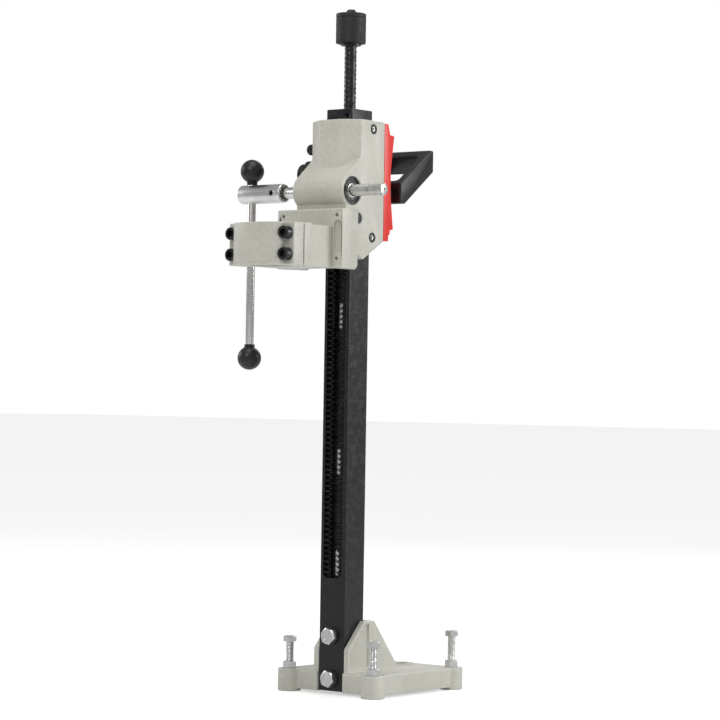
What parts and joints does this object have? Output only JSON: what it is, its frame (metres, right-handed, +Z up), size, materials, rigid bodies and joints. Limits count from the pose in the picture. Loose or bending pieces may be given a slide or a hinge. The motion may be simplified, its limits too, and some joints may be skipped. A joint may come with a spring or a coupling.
{
  "type": "core drill rig",
  "caption": "Upright core drill rig: base casting, square column with rack, geared carriage with hand lever, clamping collar for a drill and a ceiling jack.",
  "frame": {"origin": "on the floor, on the column's axis", "axes": "+Z up the column, -Y towards the drill collar, -X towards the hand lever"},
  "size_m": [0.267, 0.399, 0.9997],
  "materials": {
    "black_column": "satin black paint on steel",
    "rack_steel": "dark oiled rack steel with bright tooth tips",
    "bright_steel": "ground bright steel",
    "zinc_steel": "bright zinc plating",
    "grey_hammered": "light grey hammered paint on cast metal",
    "grey_plate": "grey paint on steel plate",
    "black_spindle": "black oxide steel",
    "black_rubber": "matte black moulded rubber",
    "black_plastic": "matte black moulded plastic",
    "guide_plastic": "natural slide bearing plastic",
    "bearing_steel": "polished bearing steel",
    "seal_rubber": "black seal rubber",
    "black_steel": "black oxide steel",
    "gear_steel": "oiled gear steel",
    "red_cover": "red moulded plastic"
  },
  "bodies": {
    "stand": {"base_casting": "grey_hammered", "column_tube": "black_column", "feed_rack": "rack_steel", "rack_plugs": "bright_steel", "column_bolts": "zinc_steel", "column_washers": "black_steel", "level_nuts": "zinc_steel", "column_cap": "black_column", "cap_screw": "black_steel"},
    "level_front_left": {"level_screw_front_left": "zinc_steel"},
    "level_front_right": {"level_screw_front_right": "zinc_steel"},
    "level_rear_right": {"level_screw_rear_right": "zinc_steel"},
    "level_rear_left": {"level_screw_rear_left": "zinc_steel"},
    "jack_foot": {"ceiling_foot": "black_rubber", "foot_ring": "black_spindle"},
    "jack": {"jack_spindle": "black_spindle"},
    "carriage": {"carriage_casting": "grey_hammered", "guide_pads": "guide_plastic", "rear_pads": "guide_plastic", "guide_screws": "bright_steel", "guide_rings": "black_plastic", "bearing_outer_rings": "bearing_steel", "bearing_balls": "bearing_steel", "bearing_seals": "seal_rubber", "circlips": "black_steel", "collar_body": "grey_hammered", "collar_cap": "grey_hammered", "collar_bolts": "black_steel", "collar_mount_bolts": "black_steel", "rear_bridge": "grey_plate", "bridge_bolts": "black_steel", "back_cover": "red_cover", "cover_screws": "black_steel", "carry_handle": "black_plastic", "handle_bolts": "black_steel", "lock_pad": "guide_plastic", "side_screw": "black_plastic"},
    "hand_shaft": {"feed_shaft": "bright_steel", "hand_pinion": "gear_steel", "lever_hub": "zinc_steel", "hub_screw": "black_steel", "bearing_inner_rings": "bearing_steel"},
    "counter": {"countershaft": "black_steel", "reduction_wheel": "gear_steel", "rack_pinion": "gear_steel"},
    "lever": {"lever_rod": "bright_steel", "ball_knobs": "black_plastic"},
    "lock": {"lock_knob": "black_plastic", "lock_stud": "zinc_steel"}
  },
  "joints": [
    {"name": "carriage_feed", "type": "slide", "parent": "stand", "child": "carriage", "axis": [0, 0, 1], "range_m": [-0.5007, 0]},
    {"name": "countershaft_turn", "type": "hinge", "parent": "carriage", "child": "counter", "pos_m": [0, -0.03255, 0.69138], "axis": [1, 0, 0], "range_deg": [-1, 2297]},
    {"name": "hand_shaft_turn", "type": "hinge", "parent": "carriage", "child": "hand_shaft", "pos_m": [0, -0.0487, 0.7302], "axis": [1, 0, 0], "range_deg": [-4592, 1]},
    {"name": "lever_slide", "type": "slide", "parent": "hand_shaft", "child": "lever", "axis": [0, 0, 1], "range_m": [0, 0.2074]},
    {"name": "foot_rise", "type": "slide", "parent": "stand", "child": "jack_foot", "axis": [0, 0, 1], "range_m": [0, 0.08]},
    {"name": "spindle_turn", "type": "hinge", "parent": "jack_foot", "child": "jack", "pos_m": [0, 0, 0.9], "axis": [0, 0, 1], "range_deg": [-1, 7201]},
    {"name": "lock_turn", "type": "hinge", "parent": "carriage", "child": "lock", "pos_m": [-0.05, -0.008, 0.76], "axis": [-1, 0, 0], "range_deg": [0, 90]},
    {"name": "level_front_left_lift", "type": "slide", "parent": "stand", "child": "level_front_left", "axis": [0, 0, 1], "range_m": [-0.0285, 0.01]},
    {"name": "level_front_right_lift", "type": "slide", "parent": "stand", "child": "level_front_right", "axis": [0, 0, 1], "range_m": [-0.0305, 0.01]},
    {"name": "level_rear_right_lift", "type": "slide", "parent": "stand", "child": "level_rear_right", "axis": [0, 0, 1], "range_m": [-0.0355, 0.01]},
    {"name": "level_rear_left_lift", "type": "slide", "parent": "stand", "child": "level_rear_left", "axis": [0, 0, 1], "range_m": [-0.0345, 0.01]}
  ],
  "couplings": [
    {"joint": "countershaft_turn", "follows": "carriage_feed", "rad_per_m": -80},
    {"joint": "hand_shaft_turn", "follows": "carriage_feed", "rad_per_m": 160},
    {"joint": "spindle_turn", "follows": "foot_rise", "rad_per_m": 1570.8}
  ]
}
